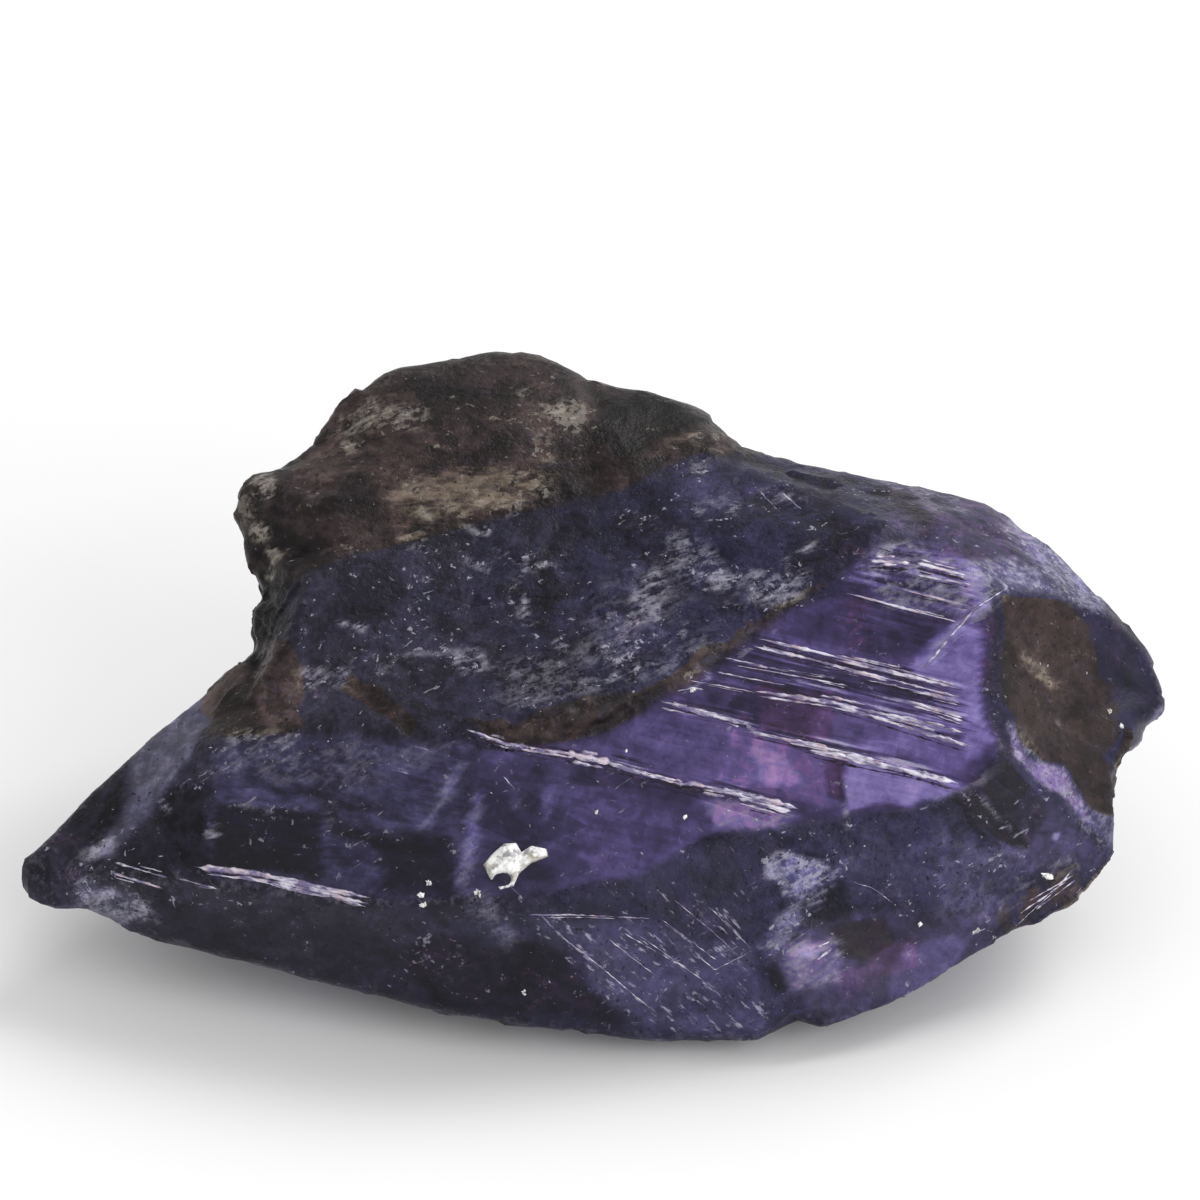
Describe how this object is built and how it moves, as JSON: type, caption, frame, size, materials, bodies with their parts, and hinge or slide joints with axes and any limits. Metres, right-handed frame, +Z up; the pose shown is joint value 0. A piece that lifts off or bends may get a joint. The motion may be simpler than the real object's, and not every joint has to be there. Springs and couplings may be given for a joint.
{
  "type": "rough tanzanite crystal",
  "caption": "Uncut violet-blue tanzanite crystal with a brown weathered shoulder and a striated glassy face, lying on a small flat spot.",
  "frame": {"origin": "on the surface the crystal lies on, under the middle of its box", "axes": "+X along the crystal's length from its pointed tip to its blunt end, +Y away from the striated front face, +Z up"},
  "size_m": [0.0302, 0.0166, 0.0118],
  "materials": {
    "tanzanite": "translucent violet crystal with worn, striated and brown weathered skin",
    "white_mineral": "dull white, slightly translucent"
  },
  "bodies": {
    "root": {"tanzanite_crystal": "tanzanite", "white_crumb": "white_mineral"}
  },
  "joints": []
}
